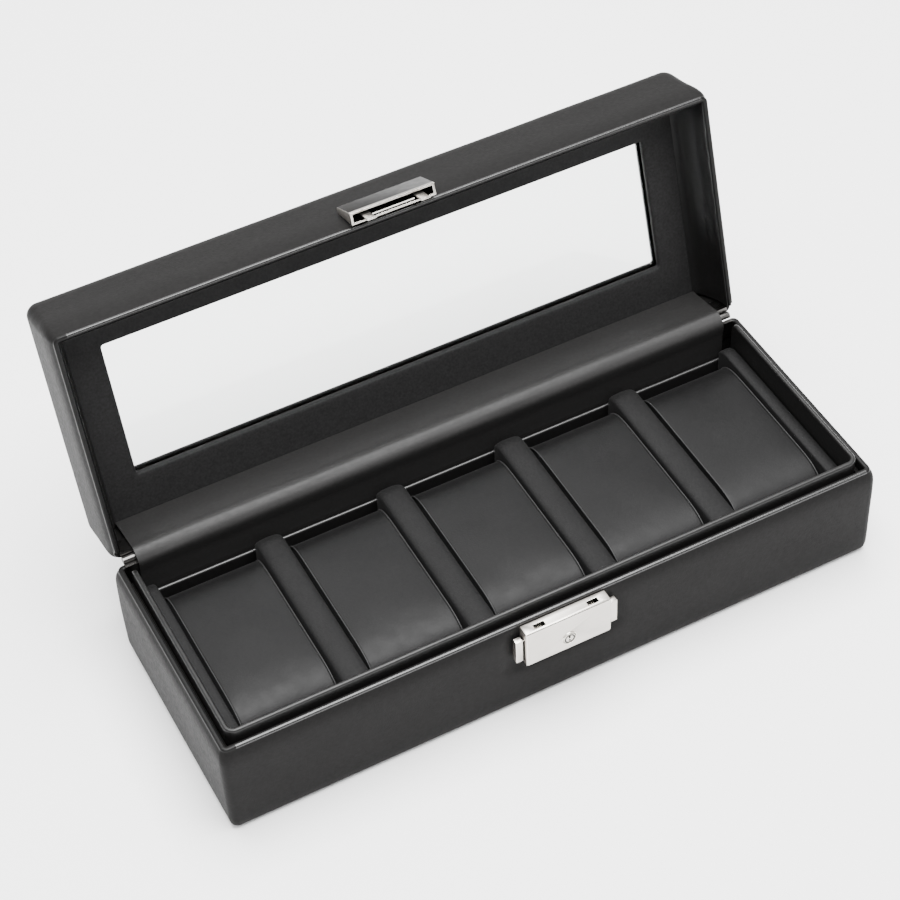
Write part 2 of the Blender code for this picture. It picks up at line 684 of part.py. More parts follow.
# key cylinder: a disc in the case front, a barrel behind it, and a flattened cam at the back
cylinder = [
    (2.7, 2.7, -64.3),
    (2.95, 2.95, -64.1),
    (2.95, 2.95, -62.6),
    (2.6, 2.6, -62.3),
    (2.6, 2.6, -60.8),
    (2.6, 1.0, -60.6),
    (2.6, 1.0, -59.3),
]
key_sides = 20
turns = [2 * math.pi * i / key_sides for i in range(key_sides)]
key = make("key_cylinder",
           *loft([[(a * math.cos(t), y, KEY_Z + b * math.sin(t)) for t in turns] for a, b, y in cylinder]),
           nickel("key_nickel"), pivot=(0.0, LOCK_Y[0], KEY_Z), round_piece=True)
cut(key, "key_slot", block((-0.45, 0.45), (-66.0, -62.9), (KEY_Z - 1.7, KEY_Z + 1.7)))

spring = []
turns_of_spring, coil_r, wire_r, steps = 4, 1.0, 0.22, 8
for i in range(turns_of_spring * steps + 1):
    a = 2 * math.pi * i / steps
    x = -16.6 + 10.2 * i / (turns_of_spring * steps)
    middle = Vector((x, -60.4 + coil_r * math.cos(a), 35.2 + coil_r * math.sin(a)))
    out = Vector((0.0, math.cos(a), math.sin(a)))
    spring.append([tuple(middle + wire_r * (out * math.cos(b) + Vector((1, 0, 0)) * math.sin(b)))
                   for b in [2 * math.pi * k / 5 for k in range(5)]])
make("slider_spring", *loft(spring), nickel("spring_steel"), round_piece=True)

# ---------------------------------------------------------------- catch bar
catch_outline = [
    (CATCH_BACK, CATCH_Z[0]),
    (CATCH_BACK, CATCH_Z[1]),
    (CATCH_BACK - 2.4, CATCH_Z[1]),
    (CATCH_BACK - 3.2, CATCH_Z[1] - 0.9),
    (CATCH_BACK - 5.4, CATCH_Z[0] + 3.4),
    (CATCH_BACK - 5.7, CATCH_Z[0] + 1.6),
    (CATCH_BACK - 5.7, CATCH_Z[0]),
]
catch = make("catch_bar", *along_x(catch_outline, -CATCH_X, CATCH_X), nickel("catch_nickel"), on_lid=True)
hollow = along_x([(CATCH_BACK - 0.9, 50.0), (CATCH_BACK - 0.9, 61.5), (CATCH_BACK - 3.6, 61.5),
                  (CATCH_BACK - 4.9, 56.0), (CATCH_BACK - 4.9, 50.0)], -CATCH_X + 1.0, CATCH_X - 1.0)
cut(catch, "catch_hollow", hollow, on_lid=True)
hooks = []
shank = [(-2.0, 48.0), (2.5, 48.0), (2.5, 48.6), (2.0, 49.3), (2.0, 63.0), (-2.0, 63.0)]
for x in (-HOOK_X, HOOK_X):
    hooks.append(loft([[(x + dx, y, z) for dx, z in shank] for y in (-61.2, -60.4)]))
cut(catch, "catch_hooks", joined(*hooks), on_lid=True, operation="UNION")
stud_holes = cut(catch, "stud_holes",
                 joined(*[rod_y(x, STUD_Z, 1.1, -60.0, -54.0, 10) for x in (-STUD_X, STUD_X)]), on_lid=True)
cut(lid_cover, "stud_holes_cover", stud_holes)
cut(lid_boards["front"], "stud_holes_board", stud_holes)
for side, x in (("left", -STUD_X), ("right", STUD_X)):
    make(f"catch_stud_{side}", *rod_y(x, STUD_Z, 0.9, -59.8, -54.4, 10), nickel(f"stud_nickel_{side}"),
         on_lid=True, round_piece=True)
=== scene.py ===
"""Looks of a leather-covered watch box: padded leather shells, suede cushions, a glazed lid, a piano
hinge and a nickel lock.

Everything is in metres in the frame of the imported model, with Z up and the front facing -Y. Lengths
in the tables are millimetres. Pieces on the lid are drawn shut and then turned open about the hinge.
"""

import math

import bmesh
import bpy
import numpy as np
from mathutils import Euler, Matrix, Vector, noise


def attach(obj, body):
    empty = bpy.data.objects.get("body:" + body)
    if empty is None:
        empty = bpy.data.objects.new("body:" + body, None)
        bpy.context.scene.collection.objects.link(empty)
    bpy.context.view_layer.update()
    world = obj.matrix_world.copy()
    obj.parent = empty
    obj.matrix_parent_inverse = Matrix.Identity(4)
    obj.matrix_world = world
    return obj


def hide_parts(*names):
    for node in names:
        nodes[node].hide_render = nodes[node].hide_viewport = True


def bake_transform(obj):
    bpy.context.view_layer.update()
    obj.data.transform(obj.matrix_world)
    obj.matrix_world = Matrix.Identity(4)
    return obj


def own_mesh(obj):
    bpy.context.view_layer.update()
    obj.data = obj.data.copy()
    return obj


MM = 0.001
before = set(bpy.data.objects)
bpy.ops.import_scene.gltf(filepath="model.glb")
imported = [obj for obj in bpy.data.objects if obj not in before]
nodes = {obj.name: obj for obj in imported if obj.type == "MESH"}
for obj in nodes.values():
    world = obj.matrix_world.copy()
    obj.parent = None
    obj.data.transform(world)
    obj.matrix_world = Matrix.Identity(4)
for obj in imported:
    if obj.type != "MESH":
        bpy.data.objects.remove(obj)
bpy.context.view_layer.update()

# ---------------------------------------------------------------- dimensions, in millimetres
BASE_X, BASE_Y, BASE_CORNER = 159.6, 57.4, 3.0
LID_X, LID_FRONT, LID_BACK, LID_RIM, LID_TOP = 158.4, -56.2, 57.4, 54.9, 92.8
WINDOW_X, WINDOW_Y = 134.5, 33.0
REBATE_Y, REBATE_Z = 53.3, 57.95
HINGE_Y, HINGE_Z, OPEN_DEG = 57.9, 56.0, 106.3
COLLAR_X, COLLAR_Y, COLLAR_THICK, COLLAR_TOP = 155.2, 53.2, 2.4, 58.4
COLLAR_CORNER, COLLAR_BACK = 5.0, 50.0
PITCH = 61.0
DIVIDER_TOP, CUSHION_TOP = 45.8, 44.8
LOCK_X, LOCK_Z, LOCK_BACK = 21.0, (31.3, 52.4), -57.8

hinge = Vector((0.0, HINGE_Y, HINGE_Z))
opened = (
    Matrix.Translation(hinge * MM)
    @ Matrix.Rotation(math.radians(-OPEN_DEG), 4, "X")
    @ Matrix.Translation(-hinge * MM)
)


# ---------------------------------------------------------------- materials
class Shader:
    """A Principled material whose textures follow the piece's own coordinates."""

    def __init__(self, name, colour, roughness, metallic=0.0, specular=0.5):
        self.material = bpy.data.materials.new(name)
        self.material.use_nodes = True
        self.tree = self.material.node_tree
        self.main = self.tree.nodes["Principled BSDF"]
        self.main.inputs["Base Color"].default_value = (*colour, 1.0)
        self.main.inputs["Roughness"].default_value = roughness
        self.main.inputs["Metallic"].default_value = metallic
        self.main.inputs["Specular IOR Level"].default_value = specular
        self.place = self.add("ShaderNodeTexCoord")
        self.colour, self.roughness = colour, roughness
        self.height = None

    def add(self, kind):
        return self.tree.nodes.new(kind)

    def link(self, out, into):
        self.tree.links.new(out, into)

    def scaled(self, scale):
        node = self.add("ShaderNodeMapping")
        node.inputs["Scale"].default_value = scale
        self.link(self.place.outputs["Object"], node.inputs["Vector"])
        return node.outputs["Vector"]

    def noise(self, scale, detail=3.0, stretch=(1, 1, 1)):
        node = self.add("ShaderNodeTexNoise")
        node.inputs["Scale"].default_value = scale
        node.inputs["Detail"].default_value = detail
        self.link(self.scaled(stretch), node.inputs["Vector"])
        return node.outputs["Fac"]

    def cells(self, scale):
        node = self.add("ShaderNodeTexVoronoi")
        node.feature = "SMOOTH_F1"
        node.inputs["Smoothness"].default_value = 0.6
        node.inputs["Scale"].default_value = scale
        wobble = self.add("ShaderNodeTexNoise")
        wobble.inputs["Scale"].default_value = scale * 0.6
        self.link(self.place.outputs["Object"], wobble.inputs["Vector"])
        mixed = self.add("ShaderNodeVectorMath")
        mixed.operation = "MULTIPLY_ADD"
        mixed.inputs[1].default_value = (1.2 / scale,) * 3
        self.link(wobble.outputs["Color"], mixed.inputs[0])
        self.link(self.place.outputs["Object"], mixed.inputs[2])
        self.link(mixed.outputs["Vector"], node.inputs["Vector"])
        return node.outputs["Distance"]

    def spread(self, value, low, high):
        node = self.add("ShaderNodeMapRange")
        node.inputs["From Min"].default_value = 0.3
        node.inputs["From Max"].default_value = 0.7
        node.inputs["To Min"].default_value = low
        node.inputs["To Max"].default_value = high
        self.link(value, node.inputs["Value"])
        return node.outputs["Result"]

    def vary_roughness(self, value, amount):
        result = self.spread(value, self.roughness - amount, self.roughness + amount)
        self.link(result, self.main.inputs["Roughness"])

    def vary_colour(self, value, amount):
        ramp = self.add("ShaderNodeValToRGB")
        for element, gain in zip(ramp.color_ramp.elements, (1 - amount, 1 + amount)):
            element.color = (*[c * gain for c in self.colour], 1.0)
        ramp.color_ramp.elements[0].position = 0.3
        ramp.color_ramp.elements[1].position = 0.7
        self.link(value, ramp.inputs["Fac"])
        self.link(ramp.outputs["Color"], self.main.inputs["Base Color"])

    def bump(self, value, depth_mm, strength=1.0):
        node = self.add("ShaderNodeBump")
        node.inputs["Strength"].default_value = strength
        node.inputs["Distance"].default_value = depth_mm * MM
        self.link(value, node.inputs["Height"])
        if self.height is not None:
            self.link(self.height, node.inputs["Normal"])
        self.height = node.outputs["Normal"]
        self.link(self.height, self.main.inputs["Normal"])


def leather(name, grey, roughness, grain=0.05, pore=1300.0, specular=0.5):
    look = Shader(name, (grey, grey * 0.97, grey * 0.96), roughness, specular=specular)
    look.vary_colour(look.noise(620.0, 5.0), 0.12)
    look.vary_roughness(look.noise(500.0, 5.0), 0.05)
    look.bump(look.noise(45.0, 2.0), 0.12, 0.4)
    look.bump(look.cells(pore), grain, 0.7)
    look.bump(look.noise(pore * 2.2, 2.0), grain * 0.6, 0.6)
    return look


def suede(name, grey, roughness, specular):
    look = Shader(name, (grey, grey * 0.985, grey), roughness, specular=specular)
    look.main.inputs["Sheen Weight"].default_value = 0.02
    look.main.inputs["Sheen Roughness"].default_value = 0.45
    look.vary_colour(look.noise(900.0, 5.0), 0.3)
    look.vary_roughness(look.noise(160.0, 4.0), 0.05)
    look.bump(look.noise(2600.0, 3.0), 0.05, 0.8)
    look.bump(look.cells(1300.0), 0.05, 0.6)
    return look


def nickel(name, roughness, brushed=True, colour=(0.70, 0.675, 0.63)):
    look = Shader(name, colour, roughness, metallic=1.0)
    if brushed:
        lines = look.noise(900.0, 4.0, (0.02, 1.0, 1.0))
        look.bump(lines, 0.012, 0.5)
        look.vary_roughness(lines, 0.07)
    else:
        look.vary_roughness(look.noise(300.0, 3.0), 0.04)
    look.vary_colour(look.noise(90.0, 3.0), 0.04)
    return look


shell_leather = leather("shell_leather", 0.0095, 0.48, grain=0.05, specular=0.035)
rim_leather = leather("rim_leather", 0.006, 0.36, grain=0.03, specular=0.12)
edge_leather = leather("edge_leather", 0.006, 0.27, grain=0.03, specular=0.6)
lining_leather = leather("lining_leather", 0.0064, 0.34, grain=0.03, specular=0.3)
flap_leather = leather("flap_leather", 0.0125, 0.5, grain=0.025, specular=0.26)
back_leather = leather("back_leather", 0.006, 0.36, grain=0.02, specular=0.6)
# suede lighter than the cushions, a painted highlight along the cushion side edges
seam_highlight_suede = suede("seam_highlight_suede", 0.016, 0.5, specular=0.3)
cushion_suede = suede("cushion_suede", 0.0036, 0.45, specular=0.14)
divider_suede = suede("divider_suede", 0.006, 0.6, specular=0.12)
panel_suede = suede("panel_suede", 0.0105, 0.6, specular=0.14)
felt = suede("bottom_felt", 0.008, 0.95, specular=0.1)
brushed = nickel("brushed_nickel", 0.36, colour=(0.56, 0.53, 0.49))
# near-black nickel for the insides of the lock, catch and keyway: painted shade in these hollows
painted_shade_nickel = nickel("painted_shade_inner_nickel", 0.45, brushed=False, colour=(0.02, 0.019, 0.018))
polished = nickel("polished_nickel", 0.16, brushed=False, colour=(0.8, 0.77, 0.71))
steel = nickel("screw_nickel", 0.25, brushed=False)
# hinge nickel darkened to near-black as painted shade in the gap between lid and base
hinge_shade_nickel = nickel("hinge_painted_shade_nickel", 0.3, brushed=False, colour=(0.1, 0.097, 0.094))

# near-black board, so that where it shows in the gaps between the leather pieces it gives painted shade
gap_shade_board = Shader("painted_shade_board", (0.004, 0.0038, 0.0036), 0.8, specular=0.1)
gap_shade_board.vary_colour(gap_shade_board.noise(900.0, 6.0), 0.3)
gap_shade_board.bump(gap_shade_board.noise(1500.0, 4.0), 0.05, 0.6)

pane = Shader("clear_glass", (0.96, 0.98, 0.97), 0.0, specular=0.15)
pane.main.inputs["Transmission Weight"].default_value = 1.0
pane.main.inputs["IOR"].default_value = 1.45


# ---------------------------------------------------------------- mesh helpers
def piece(name, points, faces, look, on_lid=False, smooth_deg=40.0):
    """One object from points in millimetres; a lid piece is turned open with the lid."""
    mesh = bpy.data.meshes.new(name)
    mesh.from_pydata([Vector(p) * MM for p in points], [], faces)
    if on_lid:
        mesh.transform(opened)
    shape = bmesh.new()
    shape.from_mesh(mesh)
    bmesh.ops.recalc_face_normals(shape, faces=shape.faces)
    shape.to_mesh(mesh)
    shape.free()
    mesh.shade_smooth()
    mesh.set_sharp_from_angle(angle=math.radians(smooth_deg))
    made = bpy.data.objects.new(name, mesh)
    bpy.context.scene.collection.objects.link(made)
    mesh.materials.append(look.material)
    return made


def quads(rows, count, wrap):
    faces = []
    for i in range(rows if wrap else rows - 1):
        here, there = i * count, (i + 1) % rows * count
        for j in range(count):
            k = (j + 1) % count
            faces.append((here + j, here + k, there + k, there + j))
    return faces


def hoop(sections):
    return [p for s in sections for p in s], quads(len(sections), len(sections[0]), True)


def loft(sections, rings=0):
    """Skin through sections. Each end is closed by rings that shrink to the end's middle."""
    sections = [list(s) for s in sections]
    if rings:
        for end, order in ((sections[0], -1), (sections[-1], 1)):
            middle = sum((Vector(p) for p in end), Vector()) / len(end)
            for i in range(1, rings + 1):
                share = 1 - i / (rings + 1)
                ring = [tuple(middle + (Vector(p) - middle) * share) for p in end]
                sections.insert(0 if order < 0 else len(sections), ring)
    count = len(sections[0])
    points = [p for s in sections for p in s]
    faces = quads(len(sections), count, False)
    faces += [tuple(range(count)), tuple(range(len(points) - count, len(points)))]
    return points, faces


def ease(t):
    t = min(max(t, 0.0), 1.0)
    return t * t * (3 - 2 * t)


def smooth_line(points, steps):
    """Catmull-Rom curve through the points, with the given number of steps in each span."""
    line = []
    for i in range(len(points) - 1):
        a, b, c, d = (Vector(points[min(max(k, 0), len(points) - 1)]) for k in (i - 1, i, i + 1, i + 2))
        for j in range(steps):
            t = j / steps
            line.append(
                0.5 * ((2 * b) + (c - a) * t + (2 * a - 5 * b + 4 * c - d) * t * t
                       + (3 * b - a - 3 * c + d) * t * t * t)
            )
    line.append(Vector(points[-1]))
    return line


def perimeter(x0, x1, y0, y1, radius, along=(96, 40), arc=8):
    """Rounded rectangle as (x, y, nx, ny), with many points on each side."""
    path = []
    corners = [(x1, y0, -90), (x1, y1, 0), (x0, y1, 90), (x0, y0, 180)]
    for number, (x, y, start) in enumerate(corners):
        cx = x - radius if x == x1 else x + radius
        cy = y - radius if y == y1 else y + radius
        for i in range(arc + 1):
            a = math.radians(start + 90 * i / arc)
            path.append((cx + radius * math.cos(a), cy + radius * math.sin(a), math.cos(a), math.sin(a)))
        x_next, y_next, _ = corners[(number + 1) % 4]
        nx = x_next - radius if x_next == x1 else x_next + radius
        ny = y_next - radius if y_next == y1 else y_next + radius
        a = math.radians(start + 90)
        begin = Vector((cx + radius * math.cos(a), cy + radius * math.sin(a)))
        end = Vector((nx + radius * math.cos(a), ny + radius * math.sin(a)))
        steps = along[1] if number % 2 == 0 else along[0]
        for i in range(1, steps):
            here = begin.lerp(end, i / steps)
            path.append((here.x, here.y, math.cos(a), math.sin(a)))
    return path


def ripple(x, y, z, seed, reach=28.0):
    """Slow unevenness of stretched leather, between about -1 and 1."""
    return noise.noise(Vector((x / reach + seed, y / reach, z / reach * 1.4)))


def declare(made, body, slot, *replaced):
    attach(made, body)
    if replaced:
        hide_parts(*replaced)
    return made


# ---------------------------------------------------------------- padded shells
def shell_section(box, grow, radius, z, amount, seed):
    """One level of a padded shell: the box grown outwards and gently uneven."""
    x0, x1, y0, y1 = box
    level = []
    for x, y, nx, ny in perimeter(x0 - grow, x1 + grow, y0 - grow, y1 + grow, radius):
        out = amount * ripple(x, y, z, seed)
        level.append((x + nx * out, y + ny * out, z))
    return level


def profile_curve(table, steps):
    """Smooths a table of (grow, radius, z, unevenness) rows."""
    flat = smooth_line([Vector((g, z, r)) for g, r, z, _ in table], steps)
    share = [row[3] for row in table]
    lines = []
    for i, p in enumerate(flat):
        k = min(i // steps, len(share) - 2)
        t = (i - k * steps) / steps
        lines.append((p.x, p.z, p.y, share[k] + (share[k + 1] - share[k]) * t))
    return lines


rim_path = perimeter(-BASE_X, BASE_X, -BASE_Y, BASE_Y, BASE_CORNER)
EDGE_ROWS = 9


def band_materials(cover, first, rows, edge_first):
    """Gives the turned-over rim its own leather, with a burnished edge along the front.

    The band is the given number of rows from the first one. Its edge is its first or last rows.
    """
    cover.data.materials.append(rim_leather.material)
    cover.data.materials.append(edge_leather.material)
    last = first + rows - 1
    edge = range(first, first + EDGE_ROWS) if edge_first else range(last - EDGE_ROWS, last)
    for face in cover.data.polygons:
        row, place = divmod(face.index, len(rim_path))
        if first <= row < last:
            x, y, _, _ = rim_path[place]
            at_front = y < -BASE_Y + 0.5 and abs(x) < BASE_X - BASE_CORNER - 0.2
            face.material_index = 2 if row in edge and at_front else 1


base_box = (-BASE_X, BASE_X, -BASE_Y, BASE_Y)
base_outside = [
    (-6.0, 2.0, 1.05, 0.0),
    (-1.2, 2.0, 1.1, 0.0),
    (0.7, 3.0, 2.0, 0.0),
    (1.5, 3.4, 4.6, 0.05),
    (1.8, 3.8, 10.0, 0.15),
    (1.9, 3.9, 22.0, 0.2),
    (1.9, 3.9, 34.0, 0.2),
    (1.85, 3.8, 43.0, 0.12),
    (1.65, 3.6, 47.5, 0.08),
    (1.15, 3.4, 50.3, 0.04),
    (0.5, 3.2, 52.0, 0.02),
]
base_rim = [
    (0.1, 3.0, 52.9, 0.02),
    (-0.1, 2.8, 53.55, 0.0),
    (-0.55, 2.5, 53.97, 0.0),
    (-1.3, 1.7, 54.06, 0.0),
    (-2.0, 1.1, 53.95, 0.0),
    (-2.45, 0.7, 53.6, 0.0),
    (-2.55, 0.6, 52.8, 0.0),
    (-2.55, 0.6, 49.0, 0.0),
]
base_inside = [
    (-2.3, 0.7, 49.0, 0.0),
    (-2.3, 0.7, 53.2, 0.0),
    (-0.45, 2.55, 53.2, 0.0),
    (-0.45, 2.55, 1.5, 0.0),
    (-6.0, 0.6, 1.5, 0.0),
]
WALL_STEPS, RIM_STEPS = 4, 3
levels = profile_curve(base_outside, WALL_STEPS) + profile_curve(base_rim, RIM_STEPS) + base_inside
sections = [shell_section(base_box, g, r, z, u, 3.7) for g, r, z, u in levels]

# the padding is pressed flat behind the lock, so that its case and slider tabs clear the leather
DIMPLE_SIDE, DIMPLE_ENDS, DIMPLE_DEPTH, DIMPLE_RAMP = 3.2, 0.8, 1.9, 8.0
pressed = []
for section in sections:
    level = []
    for x, y, z in section:
        if y < -BASE_Y:
            beside = max(0.0, abs(x) - LOCK_X - DIMPLE_SIDE)
            above = max(0.0, LOCK_Z[0] - DIMPLE_ENDS - z, z - LOCK_Z[1] - DIMPLE_ENDS)
            y = max(y, LOCK_BACK + 0.12 - DIMPLE_DEPTH * ease(math.hypot(beside, above) / DIMPLE_RAMP))
        level.append((x, y, z))
    pressed.append(level)
base_cover = piece("base_leather", *hoop(pressed), shell_leather, smooth_deg=60)
wall_rows = (len(base_outside) - 1) * WALL_STEPS + 1
band_materials(base_cover, wall_rows, len(base_rim) * RIM_STEPS - 2, edge_first=True)
declare(base_cover, "base", "base_leather_cover", "base_leather_cover")

lid_box = (-LID_X, LID_X, LID_FRONT, LID_BACK)
lid_inner = [
    (-2.25, 0.75, LID_RIM + 3.9, 0.0),
    (-2.25, 0.75, LID_RIM + 0.5, 0.0),
]
lid_rim = [
    (-2.2, 0.8, LID_RIM + 0.45, 0.0),
    (-1.9, 1.1, LID_RIM + 0.08, 0.0),
    (-1.1, 1.9, LID_RIM - 0.04, 0.0),
    (-0.4, 2.6, LID_RIM + 0.02, 0.0),
    (0.0, 3.0, LID_RIM + 0.35, 0.0),
    (0.1, 3.0, LID_RIM + 1.1, 0.02),
]
lid_outside = [
    (0.2, 3.0, LID_RIM + 1.8, 0.03),
    (1.05, 3.4, LID_RIM + 5.2, 0.1),
    (1.5, 4.0, LID_RIM + 11.0, 0.2),
    (1.55, 5.0, LID_RIM + 20.0, 0.2),
    (1.6, 5.0, LID_RIM + 29.0, 0.15),
    (1.5, 5.0, LID_TOP - 4.4, 0.1),
    (0.7, 5.2, LID_TOP - 1.5, 0.1),
    (-1.2, 5.3, LID_TOP - 0.2, 0.1),
    (-5.5, 5.3, LID_TOP, 0.1),
]
window_roll = [
    (9.5, 4.0, LID_TOP - 0.85, 0.1),
    (5.0, 2.6, LID_TOP - 1.4, 0.05),
    (2.0, 1.8, LID_TOP - 2.8, 0.03),
    (0.4, 1.4, LID_TOP - 5.0, 0.0),
    (0.0, 1.3, LID_TOP - 6.6, 0.0),
    (0.0, 1.3, 85.35, 0.0),
]
lid_hidden = [
    (0.4, 1.6, 85.35, 0.0),
    (0.4, 1.6, 86.0, 0.0),
    (2.3, 2.4, 88.7, 0.0),
]
lid_behind = [
    (-2.6, 5.2, 88.6, 0.0),
    (-1.95, 1.6, 83.9, 0.0),
    (-0.45, 2.55, 83.7, 0.0),
    (-0.45, 2.55, LID_RIM + 0.5, 0.0),
    (-1.9, 1.1, LID_RIM + 0.5, 0.0),
    (-1.9, 1.1, LID_RIM + 3.9, 0.0),
]
window_box = (-WINDOW_X, WINDOW_X, -WINDOW_Y, WINDOW_Y)
LID_SEED = 9.1
outer = lid_inner + profile_curve(lid_rim, RIM_STEPS) + profile_curve(lid_outside, WALL_STEPS)
around_window = profile_curve(window_roll, WALL_STEPS) + lid_hidden
sections = []
for box, rows in ((lid_box, outer), (window_box, around_window), (lid_box, lid_behind)):
    sections += [shell_section(box, g, r, z, u, LID_SEED) for g, r, z, u in rows]

# the back rim is cut up to the hinge, and the rows above it are squeezed to make room
SQUEEZE = 5.0
rebated = []
for section in sections:
    level = []
    for x, y, z in section:
        if y > REBATE_Y and z < REBATE_Z + SQUEEZE:
            z = REBATE_Z + (z - LID_RIM) * SQUEEZE / (REBATE_Z + SQUEEZE - LID_RIM)
        level.append((x, y, z))
    rebated.append(level)
lid_cover = piece("lid_leather", *hoop(rebated), shell_leather, on_lid=True, smooth_deg=60)
band_materials(lid_cover, len(lid_inner), len(lid_rim) * RIM_STEPS - 2, edge_first=False)
declare(lid_cover, "lid", "lid_leather_cover", "lid_leather_cover")

# ---------------------------------------------------------------- collar
COLLAR_BOTTOM, COLLAR_MIDDLE = 5.0, 30.0
roll_over = [(0.0, 1.3), (0.12, 0.55), (0.6, 0.1), (1.2, 0.0), (1.8, 0.1), (2.28, 0.55), (COLLAR_THICK, 1.3)]
collar_round = smooth_line([(depth, COLLAR_TOP - below) for depth, below in roll_over], 3)
collar_profile = [(0.0, COLLAR_BOTTOM), (0.0, COLLAR_MIDDLE)]
collar_profile += [tuple(p) for p in collar_round]
collar_profile += [(COLLAR_THICK, COLLAR_MIDDLE), (COLLAR_THICK, COLLAR_BOTTOM)]
END_STEPS, END_LONG, LEG_STEPS, LEG_STEP, FRONT_STEPS, CORNER_STEPS = 6, 4.0, 30, 3.0, 100, 12


def collar_leg(sign):
    """One side of the collar from its rounded back end towards the front, as (x, y, nx, ny, drop)."""
    leg = []
    for i in range(END_STEPS + 1):
        share = i / END_STEPS
        leg.append((sign * COLLAR_X, COLLAR_BACK - END_LONG * share ** 2, sign, 0,
                    END_LONG * (1 - share) ** 2.2))
    leg += [(sign * COLLAR_X, COLLAR_BACK - END_LONG - i * LEG_STEP, sign, 0, 0.0)
            for i in range(1, LEG_STEPS + 1)]
    return leg


def collar_turn(sign):
    """One front corner of the collar, from the side to the front."""
    turn = []
    for i in range(CORNER_STEPS + 1):
        a = math.radians(180 + 90 * i / CORNER_STEPS)
        nx, ny = -sign * math.cos(a), math.sin(a)
        turn.append((sign * (COLLAR_X - COLLAR_CORNER) + COLLAR_CORNER * nx,
                     -COLLAR_Y + COLLAR_CORNER + COLLAR_CORNER * ny, nx, ny, 0.0))
    return turn


front_half = COLLAR_X - COLLAR_CORNER
front = [(-front_half + 2 * front_half * i / FRONT_STEPS, -COLLAR_Y, 0, -1, 0.0)
         for i in range(1, FRONT_STEPS)]
path = collar_leg(-1) + collar_turn(-1) + front + collar_turn(1)[::-1] + collar_leg(1)[::-1]
sections = []
for x, y, nx, ny, drop in path:
    lift = 0.05 * ripple(x, y, 0.0, 21.0, 18.0)
    level = []
    for d, z in collar_profile:
        top_share = 1 if z > COLLAR_MIDDLE else 0
        level.append((x - nx * (d + lift), y - ny * (d + lift), z + (lift - drop) * top_share))
    sections.append(level)
collar = piece("collar_leather", *loft(sections), lining_leather, smooth_deg=50)
declare(collar, "base", "collar_front", "collar_front", "collar_left", "collar_right")

# ---------------------------------------------------------------- tray back wall
TRAY_BACK_Y, TRAY_BACK_Z, TRAY_BACK_X, TRAY_BACK_FOOT = 51.6, 35.75, 154.8, 5.0
back_round = [(TRAY_BACK_Y - math.cos(a), TRAY_BACK_Z + math.sin(a)) for a in np.linspace(0.0, math.pi, 13)]
outline = [(TRAY_BACK_Y - 1.0, TRAY_BACK_FOOT)] + back_round + [(TRAY_BACK_Y + 1.0, TRAY_BACK_FOOT)]
sections = []
for x in np.linspace(-TRAY_BACK_X, TRAY_BACK_X, 120):
    level = []
    for y, z in outline:
        out = 0.04 * ripple(x, 0, z, 5.0, 15.0)
        up = 0.05 * ripple(x, 3.0, 0, 6.0, 12.0) * (z > TRAY_BACK_FOOT)
        level.append((x, y + out, z + up))
    sections.append(level)
tray_back = piece("tray_back_leather", *loft(sections), back_leather)
declare(tray_back, "base", "tray_back_wall", "tray_back_wall")


# ---------------------------------------------------------------- dividers
DIVIDER_BACK, DIVIDER_FOOT, DIVIDER_HALF = 50.2, 8.4, 6.5
END_DIVIDER_X, END_DIVIDER_HALF = 149.2, 3.2
END_ROUND, END_DROP = 7.0, 4.2


def divider(name, x, half, front, node, seed):
    """Padded upright with a rolled crown and a rounded back end."""
    crown = [(math.sin(a), abs(math.cos(a)) ** 0.75) for a in np.linspace(-math.pi / 2, math.pi / 2, 21)]
    rise = half * 0.36
    straight_end = DIVIDER_BACK - END_ROUND
    stations = list(np.linspace(front, straight_end, 40))
    stations += [DIVIDER_BACK - END_ROUND * (1 - math.sin(t)) for t in np.linspace(0.1, math.pi / 2, 12)]
    sections = []
    for y in stations:
        into = max(0.0, (y - straight_end) / END_ROUND)
        drop = END_DROP * (1 - math.sqrt(max(0.0, 1 - into * into)))
        pinch = 1 - 0.1 * into ** 3
        level = [(x + half * pinch, y, DIVIDER_FOOT), (x - half * pinch, y, DIVIDER_FOOT)]
        for u, v in crown:
            wave = 0.12 * ripple(x + u * half, y, 0.0, seed, 16.0)
            level.append((x + (half - 0.05 + wave * abs(u) * 0.3) * u * pinch, y,
                          DIVIDER_TOP - rise * (1 - v) - drop + wave))
        sections.append(level)
    made = piece(name, *loft(sections, rings=3), divider_suede, smooth_deg=50)
    declare(made, "base", node, node)


for number, step in enumerate((-1.5, -0.5, 0.5, 1.5), start=1):
    divider(f"padded_divider_{number}", step * PITCH, DIVIDER_HALF, -DIVIDER_BACK,
            f"divider_{number}", 31.0 + number)
for side, sign in (("left", -1), ("right", 1)):
    divider(f"padded_end_divider_{side}", sign * END_DIVIDER_X, END_DIVIDER_HALF, -48.1,
            f"end_divider_{side}", 41.0 + sign)


# ---------------------------------------------------------------- cushions
CUSHION_HALF = 22.1
CUSHION_REACH = 46.3
CUSHION_BOTTOM = 8.9
INFLATE_CAP = 0.9
SEAM_START = 0.98


